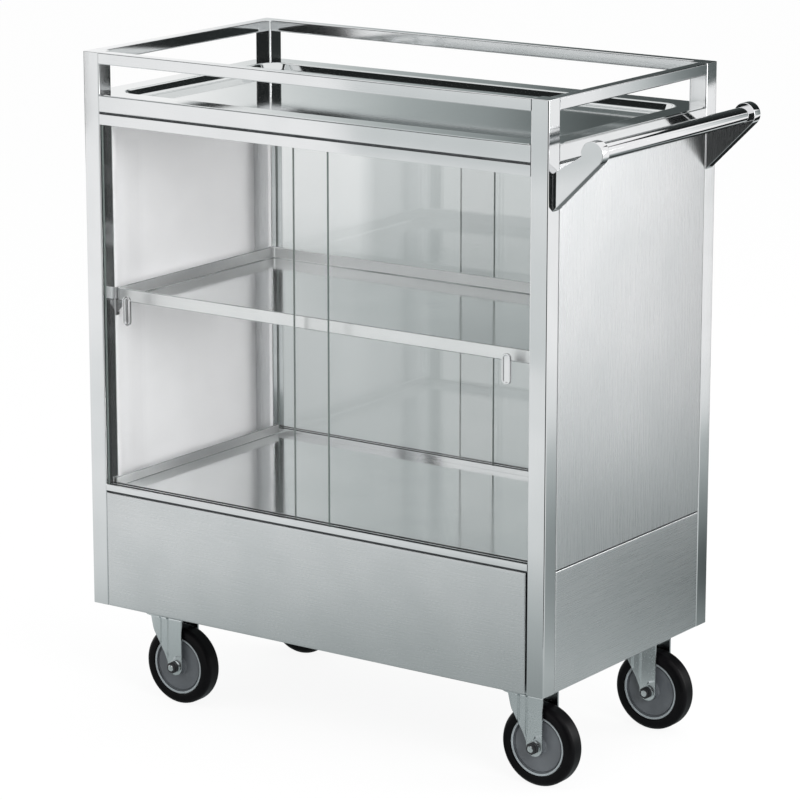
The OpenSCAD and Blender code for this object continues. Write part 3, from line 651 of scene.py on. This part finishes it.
low, high, middle = nodeBox("handle_tube")
outer = (high[0] - low[0]) / 2
inner = outer - handleLook["tubeWall"]
addPiece("handle_bar", [spun([(inner, low[1]), (outer, low[1]), (outer, high[1]), (inner, high[1])], "y",
                             (middle[0], 0, middle[2]))],
         finish["chromeBright"], "cart", ["handle_tube"])
print("push handle made")


# casters

casterLook = {"trail": 37 * mm, "sheet": 2.5 * mm, "half": 22.5 * mm, "foot": 14 * mm, "bend": 3 * mm,
              "bead": 2.4 * mm, "beads": ((-13 * mm, 20 * mm), (-27 * mm, 38 * mm)), "beadStart": 0.8 * mm,
              "knee": ((-49, 80), (-41, 55), (-19, 18), (-13.2, 4.6)),  # mm behind the axle and over it
              "plate": 3 * mm, "plateCorner": 8 * mm, "plateEase": 0.5 * mm, "tyreGap": 14 * mm,
              "kneeGap": 0.6 * mm, "legSteps": 90, "noseSteps": 49, "heightSteps": 34}
# profiles in mm, radius and height: over the plate's underside, and over the fork's crown
raceLook = {"upper": ((0.5, 0.2), (30.4, 0.2), (31.4, -1), (32.4, -2.4), (33, -4.5)),
            "lip": ((33, 5.6), (32.4, 4.6), (31.8, 4), (30.4, 4), (30, 4.6)),
            "inside": ((30, -2), (6, -2)),
            "kingpin": ((6, -2.8), (9, -2.8), (9, -6), (8.2, -7.5), (0.5, -7.5)),
            "lower": ((6.06, -0.2), (29.6, -0.2), (29.6, 9.4), (29, 10.4), (25.6, 14), (6.06, 14))}
# along the axle from the wheel's middle, in mm; the dark span is painted shade on the locknut and its collar
axleLook = {"around": 48, "hexagon": 17, "head": (24, 30), "locknut": (-24, -29.4), "dark": (-32.1, -24.1),
            "collar": ((0.3, -29), (7.6, -29), (7.6, -31.4), (6.8, -32), (0.3, -32)),
            "shank": ((0.3, 24), (5, 24), (5, -32.6), (4.2, -33.4), (0.3, -33.4)),
            "washer": ((4.8, 22.5), (9.7, 22.5), (10, 22.8), (10, 23.7), (9.7, 24), (4.8, 24)), "washerAround": 64}
# radius in mm, and mm past the boss's end, past the wheel's middle, or past the tyre's side
wheelLook = {"boss": ((5.06, 0), (11.8, 0), (13, -1.2)),
             "disc": ((13.8, 12.2), (15.4, 11), (39.5, 11), (40.9, 9.6), (42.1, 9.6), (42.5, 10), (42.5, 13.4),
                      (43.1, 14), (45.4, 14), (46, 13.4)),
             "bead": ((46.1, -2.2), (46.6, -0.7), (48.1, 0)), "paleFrom": 42.7 * mm, "tread": 9 * mm, "around": 112}


def forkShape(centre, axleZ, top):
    # sheet round a U-shaped plan: x(s), y(s) along the U and z between a lower outline and the crown;
    # the lower outline is the foot's arc, then straight up to two knees; the beads swell outwards
    c = casterLook
    half, trail, bendFrom = c["half"], c["trail"], top - c["bend"]
    straight = np.linspace(trail + c["foot"], 0, c["legSteps"])
    nose = np.linspace(-math.pi / 2, -3 * math.pi / 2, c["noseSteps"])[1:-1]
    x = np.concatenate([straight, half * np.cos(nose), straight[::-1]])
    y = np.concatenate([np.full_like(straight, -half), half * np.sin(nose), np.full_like(straight, half)])
    normal = np.stack([np.where(x < 0, x / half, 0), y / half], 1)
    u = x - trail
    foot = -np.sqrt(np.maximum(c["foot"] ** 2 - u ** 2, 0))
    kneeX, kneeZ = np.array(c["knee"]).T * mm
    knee = np.interp(u, kneeX, kneeZ)
    low = np.minimum(axleZ + np.where(u > kneeX[-1], foot, knee), bendFrom - c["kneeGap"])
    z = low[None] + (bendFrom - low[None]) * np.linspace(0, 1, c["heightSteps"])[:, None]
    swell = np.zeros_like(z)
    for at, begin in c["beads"]:
        # half a round bead, with a ball's end where it begins
        depth = c["bead"] ** 2 - (u[None] - at) ** 2 - np.minimum(z - axleZ - begin, 0) ** 2
        swell = np.maximum(swell, np.sqrt(np.maximum(depth, 0)) * (np.abs(y[None]) > half - 1e-6))
    swell = np.maximum(swell - c["beadStart"], 0)
    rows = [np.stack([x + normal[:, 0] * w, y + normal[:, 1] * w, h], 1) for w, h in zip(swell, z)]
    for q in quarter(5)[1:]:
        over, up = c["bend"] * (1 - math.cos(q)), bendFrom + c["bend"] * math.sin(q)
        rows.append(np.stack([x - normal[:, 0] * over, y - normal[:, 1] * over, np.full_like(x, up)], 1))
    grid = np.stack(rows) + np.array([*centre, 0])
    count, cols = grid.shape[:2]
    i, j = np.arange(count - 1)[:, None], np.arange(cols - 1)[None, :]
    faces = np.stack([i * cols + j, i * cols + j + 1, (i + 1) * cols + j + 1, (i + 1) * cols + j], -1)
    return grid.reshape(-1, 3), faces.reshape(-1, 4).tolist() + [list(range((count - 1) * cols, count * cols))]


def wheelShapes(centre, halfWidth, radius, halfBoss):
    # hub and tyre as profiles turned about the axle, each mirrored at the wheel's middle
    w = wheelLook
    hub = np.concatenate([fromStart(w["boss"], halfBoss), fromStart(w["disc"], 0)])
    q = quarter(8)
    t = w["tread"]
    shoulder = np.stack([radius - t + t * np.sin(q), halfWidth - t + t * np.cos(q)], 1)
    tyre = np.concatenate([fromStart(w["bead"], halfWidth), shoulder])
    return [spun(np.concatenate([half, (half * np.array([1, -1]))[::-1]]), "y", centre, w["around"])
            for half in (hub, tyre)]


for corner in postCorners:
    c, r, b = casterLook, raceLook, axleLook
    low, high, middle = nodeBox(f"caster_plate_{corner}")
    axleAt = nodeBox(f"axle_{corner}")[2]
    tyre, hub = nodeBox(f"tyre_{corner}"), nodeBox(f"hub_{corner}")
    swivel, yMid = (middle[0], middle[1], 0), tyre[2][1]
    plateZ = high[2] - c["plate"]
    crown = tyre[1][2] + c["tyreGap"] + c["sheet"]
    # mounting plate with the upper race and the kingpin's head
    race = np.concatenate([fromStart(r["upper"], plateZ), fromStart(r["lip"], crown), fromStart(r["inside"], plateZ),
                           fromStart(r["kingpin"], crown)])
    plate = easedBlock(np.array([low[0], low[1], plateZ]), high, "z", c["plateCorner"], c["plateEase"])
    addPiece(f"mounting_plate_{corner}", [plate, spun(race, "z", swivel)], finish["zincPlated"], "cart",
             [f"caster_plate_{corner}"])
    # pressed fork and its lower race
    addPiece(f"pressed_fork_{corner}", [forkShape(middle[:2], axleAt[2], crown)], finish["zincPlated"],
             f"caster_{corner}", [f"fork_{corner}"], wall=c["sheet"], sharp=30)
    addPiece(f"lower_race_{corner}", [spun(fromStart(r["lower"], crown), "z", swivel)], finish["zincPlated"],
             f"caster_{corner}", ())
    # axle bolt, washers and locknut
    at = (axleAt[0], 0, axleAt[2])
    ends = [hexBody(b["hexagon"] * mm, yMid + b[k][0] * mm, yMid + b[k][1] * mm, "y", at) for k in ("head", "locknut")]
    ends += [spun(fromStart(b[k], yMid), "y", at, b["around"]) for k in ("collar", "shank")]
    ends += [spun(fromStart(b["washer"], yMid, s), "y", at, b["washerAround"]) for s in (-1, 1)]
    bolt = addPiece(f"axle_bolt_{corner}", ends, [finish["zincPlated"], finish["plugNylon"]], f"caster_{corner}",
                    [f"axle_{corner}"])
    # the locknut and its collar are painted dark as shade, and the bolt's zinc end stands out of it
    paintedShadeFrom, paintedShadeTo = (yMid + y * mm for y in b["dark"])
    paintFaces(bolt, "center", lambda centre: (centre[:, 1] > paintedShadeFrom) & (centre[:, 1] < paintedShadeTo))
    # wheel, whose raised ring next to the tyre is painted paler than the disc as a painted highlight
    hubShape, tyreShape = wheelShapes((axleAt[0], yMid, axleAt[2]), (tyre[1][1] - tyre[0][1]) / 2,
                                      (tyre[1][2] - tyre[0][2]) / 2, (hub[1][1] - hub[0][1]) / 2)
    wheelHub = addPiece(f"wheel_hub_{corner}", [hubShape], [finish["hubNylon"], finish["paintedHighlightNylon"]],
                        f"wheel_{corner}", [f"hub_{corner}"], sharp=28)
    paintFaces(wheelHub, "center", lambda centre: np.hypot(centre[:, 0] - axleAt[0], centre[:, 2] - axleAt[2])
               > wheelLook["paleFrom"])
    addPiece(f"wheel_tyre_{corner}", [tyreShape], finish["tyreRubber"], f"wheel_{corner}", [f"tyre_{corner}"],
             sharp=60)

# bolts from under the plate to nuts over the base plate, shank in mm over the nut's seat
plateBoltLook = {"hexagon": 12.8 * mm, "head": 5.2 * mm, "nut": 6.4 * mm, "x": 40 * mm, "y": 30 * mm,
                 "basePlate": 2 * mm, "under": ((0.3, 0), (4, 0)), "shank": ((4, 7.2), (3.2, 8), (0.3, 8)),
                 "around": 32}
boltShapes = []
for corner in postCorners:
    p = plateBoltLook
    high, middle = nodeBox(f"caster_plate_{corner}")[1:]
    plateZ, top = high[2] - casterLook["plate"], high[2] + p["basePlate"]
    shank = np.concatenate([fromStart(p["under"], plateZ), fromStart(p["shank"], top)])
    for sx in (-p["x"], p["x"]):
        for sy in (-p["y"], p["y"]):
            at = (middle[0] + sx, middle[1] + sy, 0)
            boltShapes += [hexBody(p["hexagon"], plateZ, plateZ - p["head"], "z", at),
                           spun(shank, "z", at, p["around"]),
                           hexBody(p["hexagon"], top, top + p["nut"], "z", at)]
addPiece("plate_bolts", boltShapes, finish["zincPlated"], "cart", ["caster_bolts"])
print("casters made")


# studio

studio = {"floorSize": 40, "floorColour": "f4f4f4", "floorWhite": 0.9, "skyForShade": 0.95,
          "highFrom": (1.1, 1.2), "footTo": (0.5, 0.72), "halves": (-0.13, -0.07), "halvesAcross": (1, 0.717, 0),
          "glassCentre": (0.4, 0.55, 0), "coolShade": 0.15, "screenRed": 0.9}
# brightness by the distance from a place on the floor, as a polished face shows it
floorShades = {"rear": ((0.6, 1.1, 0), ((0.25, 0.12), (0.4, 0.24), (0.6, 0.36), (0.75, 0.46), (0.95, 0.56),
                                        (1.2, 0.84), (1.65, 1.0), (2.65, 1.0))),
               "near": ((0.1, -0.2, 0), ((0.1, 0.12), (0.2, 0.5), (0.3, 0.46), (0.45, 0.34), (0.8, 0.5),
                                         (1.25, 0.78), (1.8, 0.88), (2.6, 0.87), (3.2, 1.0)))}
# the same as seen through the glass, left and right of a line over the floor
glassTones = {"left": ((0.3, 0.2), (1.2, 0.38), (2.2, 0.5), (2.9, 0.53), (3.4, 0.5), (3.7, 0.66), (4.2, 0.75),
                       (5.0, 0.8), (14.0, 1.0)),
              "right": ((0.3, 0.2), (1.2, 0.38), (1.8, 0.45), (2.9, 0.47), (3.4, 0.42), (4.0, 0.53), (5.0, 0.58),
                        (14.0, 1.0))}
# brightness of the screens: along x for the one behind, at three heights, along z in front and y beside
screenTones = {"high": ((-1.75, 1.0), (-1.36, 0.65), (-1.16, 0.44), (-0.94, 0.31), (-0.8, 0.17), (-0.69, 0.1),
                        (-0.3, 0.07), (0.35, 0.03), (1.13, 0.012)),
               "middle": ((-1.75, 0.78), (-1.7, 0.74), (-1.3, 0.53), (-1.2, 0.49), (-1.0, 0.52), (-0.8, 0.48),
                          (-0.4, 0.28), (0.1, 0.05), (1.13, 0.012)),
               "foot": ((-1.75, 0.024), (0.2, 0.024), (0.35, 0.62), (0.7, 0.62), (0.8, 0.015), (1.13, 0.012)),
               "front": ((0.1, 0.72), (0.3, 0.78), (0.47, 0.84), (0.54, 0.7), (0.62, 0.74), (0.75, 0.8), (1.05, 0.7)),
               "beside": ((0.72, 0.97), (0.85, 0.7), (0.98, 0.3), (1.1, 0.14), (1.3, 0.14)), "dark": 0.02,
               "grey": 0.22}


def addSheet(name, corners, material):
    mesh = bpy.data.meshes.new(name)
    mesh.from_pydata(corners, [], [(0, 1, 2, 3)])
    mesh.materials.append(material)
    sheet = bpy.data.objects.new(name, mesh)
    bpy.context.scene.collection.objects.link(sheet)
    return sheet


def bandedTone(tree, source, low, high, tones):
    # brightness along a value, from a list of (value, brightness), a little cooler where it's darker
    share = ramp(tree, source, 0.0, 1.0, low, high)
    node = addNode(tree, "ValToRGB", links={"Fac": share})
    bands = node.color_ramp.elements
    while len(bands) < len(tones):
        bands.new(0.5)
    for band, (value, bright) in zip(bands, tones):
        cool = 1 - studio["coolShade"] * (1 - bright)
        band.position, band.color = (value - low) / (high - low), (bright * cool, bright, bright, 1)
    return node.outputs["Color"]


def floorMaterial():
    # pale floor that keeps a soft shadow; in a polished face and through the glass it shows as a studio's
    # floor does, darker in the shade round the cart and pale far off
    material, tree = newMaterial("paleFloor")
    light = addNode(tree, "LightPath").outputs
    place = addNode(tree, "TexCoord").outputs["Object"]

    def distance(centre):
        return addNode(tree, "VectorMath", {"operation": "DISTANCE", 1: centre}, {0: place}).outputs["Value"]

    shades = [bandedTone(tree, distance(centre), 0.0, tones[-1][0], tones) for centre, tones in floorShades.values()]
    tone = addNode(tree, "VectorMath", {"operation": "MINIMUM"}, {0: shades[0], 1: shades[1]}).outputs[0]
    shown = addNode(tree, "Emission", links={"Color": tone}).outputs[0]
    far = distance(studio["glassCentre"])
    left, right = (bandedTone(tree, far, 0.0, tones[-1][0], tones) for tones in glassTones.values())
    across = addNode(tree, "VectorMath", {"operation": "DOT_PRODUCT", 1: studio["halvesAcross"]},
                     {0: place}).outputs["Value"]
    halves = mixedColour(tree, ramp(tree, across, 0.0, 1.0, *studio["halves"]), left, right)
    through = addNode(tree, "Emission", links={"Color": halves}).outputs[0]
    diffuse = addNode(tree, "BsdfDiffuse", {"Color": linear(studio["floorColour"])}).outputs[0]
    white = addNode(tree, "Emission", {"Color": linear("ffffff")}).outputs[0]
    seen = addNode(tree, "MixShader", {0: studio["floorWhite"]}, {1: diffuse, 2: white}).outputs[0]
    behindGlass = addNode(tree, "Math", {"operation": "GREATER_THAN", 1: 0.5},
                          {0: light["Transparent Depth"]}).outputs[0]
    for factor, first, second in ((behindGlass, None, through), (light["Is Camera Ray"], diffuse, None),
                                  (light["Is Glossy Ray"], None, shown)):
        seen = addNode(tree, "MixShader", links={0: factor, 1: first or seen, 2: second or seen}).outputs[0]
    return shaded(material, seen)


half = studio["floorSize"] / 2
addSheet("floor", [(-half, -half, 0), (half, -half, 0), (half, half, 0), (-half, half, 0)], floorMaterial())


def screenMaterial(name, tone):
    # a screen that only shines, with one brightness or with the colour that a function of its place gives
    material, tree = newMaterial(name)
    if callable(tone):
        place = addNode(tree, "TexCoord").outputs["Object"]
        part = addNode(tree, "SeparateXYZ", links={0: place}).outputs
        shown = addNode(tree, "Emission", links={"Color": tone(tree, part)})
    else:
        shown = addNode(tree, "Emission", {"Color": (tone * studio["screenRed"], tone, tone, 1)})
    return shaded(material, shown.outputs[0])


def behindTone(tree, part):
    # pale at the left and dark at the right and foot; it is what gives polished steel its dark edges
    high, middle, foot = (bandedTone(tree, part["X"], screenTones[k][0][0], screenTones[k][-1][0], screenTones[k])
                          for k in ("high", "middle", "foot"))
    tone = mixedColour(tree, ramp(tree, part["Z"], 0.0, 1.0, *studio["highFrom"]), middle, high)
    return mixedColour(tree, ramp(tree, part["Z"], 0.0, 1.0, *studio["footTo"]), foot, tone)


def upright(y, x0, x1, z0, z1):
    return [(x0, y, z0), (x1, y, z0), (x1, y, z1), (x0, y, z1)]


def sideways(x, y0, y1, z0, z1):
    return [(x, y0, z0), (x, y1, z0), (x, y1, z1), (x, y0, z1)]


# only reflections see the screens
dark, grey = (screenMaterial(f"{k}Screen", screenTones[k]) for k in ("dark", "grey"))
screens = {"screenBehind": (screenMaterial("studioScreen", behindTone), upright(1.6, -1.75, 1.13, 0, 2)),
           "screenLeft": (dark, sideways(-1.3, -1.2, -0.5, 0.7, 1.6)),
           "screenFront": (screenMaterial("paleGreyScreen", lambda tree, part: bandedTone(
               tree, part["Z"], 0.1, 1.05, screenTones["front"])), upright(-2.2, -1.4, -0.2, 0.1, 1.05)),
           "screenHigh": (grey, upright(-2.2, -2.6, -1.12, 1.275, 2.1)),
           "screenAbove": (dark, upright(-2.2, -3.1, -1.0, 2.4, 4.2)),
           "screenTop": (grey, upright(-2.2, -4.4, -1.0, 4.2, 6.4)),
           "screenRight": (dark, upright(-2.2, 1.2, 2.6, 0, 1.3)),
           "screenBeside": (screenMaterial("shadedScreen", lambda tree, part: bandedTone(
               tree, part["Y"], 0.7, 1.3, screenTones["beside"])), sideways(0.9, 0.72, 1.3, 0.84, 1.2)),
           "flagCorner": (dark, [(0.35, -1.0, 0), (1.5, -0.75, 0), (1.5, -0.75, 1.1), (0.35, -1.0, 1.1)]),
           "flagBehind": (dark, upright(0.65, 0.2, 0.46, 0, 0.8)),
           "flagInFront": (dark, upright(-0.6, -0.695, -0.664, 0.24, 0.82))}
for name, (material, corners) in screens.items():
    screen = addSheet(name, corners, material)
    for kind in ("camera", "diffuse", "transmission", "volume_scatter", "shadow"):
        setattr(screen, f"visible_{kind}", False)

world = bpy.data.worlds.new("studio")
bpy.context.scene.world = world
world.use_nodes = True
tree = world.node_tree
tree.nodes.clear()
light = addNode(tree, "LightPath").outputs
seen = light["Is Camera Ray"]
for ray in ("Is Glossy Ray", "Is Transmission Ray"):
    seen = addNode(tree, "Math", {"operation": "MAXIMUM"}, {0: seen, 1: light[ray]}).outputs[0]
sky, white = (addNode(tree, "Background", {"Color": linear("ffffff"), "Strength": strength}).outputs[0]
              for strength in (studio["skyForShade"], 1.0))
shown = addNode(tree, "MixShader", links={0: seen, 1: sky, 2: white}).outputs[0]
addNode(tree, "OutputWorld", links={"Surface": shown})

# place, target, size and power of each lamp, and whether reflections see it
lamps = {"keySoftbox": ((-2.4, -2.6, 2.6), (0, 0, 0.4), 1.8, 24, False),
         "fillSoftbox": ((3.0, -1.6, 1.6), (0, 0, 0.4), 1.6, 85, False),
         "topSoftbox": ((0.2, 0.6, 3.4), (0, 0, 0.4), 2.0, 16, False),
         "rearSoftbox": ((2.9, 1.9, 1.3), (0, 0, 0.6), 2.0, 38, True)}
for name, (place, target, size, power, mirrored) in lamps.items():
    lamp = bpy.data.lights.new(name, "AREA")
    lamp.shape, lamp.size, lamp.energy = "DISK", size, power
    holder = bpy.data.objects.new(name, lamp)
    bpy.context.scene.collection.objects.link(holder)
    holder.location = place
    direction = np.array(target) - np.array(place)
    holder.rotation_euler = (math.acos(-direction[2] / np.linalg.norm(direction)), 0,
                             math.atan2(direction[0], -direction[1]) + math.pi)
    holder.visible_glossy = mirrored

cameraLook = {"sensor": 36, "lens": 164.15, "place": (3.0926, -4.4426, 1.8165), "down": 13.627, "turn": 35.149}
camera = bpy.data.cameras.new("camera")
camera.sensor_width, camera.lens = cameraLook["sensor"], cameraLook["lens"]
cameraObject = bpy.data.objects.new("camera", camera)
bpy.context.scene.collection.objects.link(cameraObject)
cameraObject.location = cameraLook["place"]
cameraObject.rotation_euler = (math.radians(90 - cameraLook["down"]), 0, math.radians(cameraLook["turn"]))
camera.clip_start, camera.clip_end = 0.1, 100
bpy.context.scene.camera = cameraObject
bpy.context.scene.view_settings.view_transform = "Standard"
print("studio and camera set")
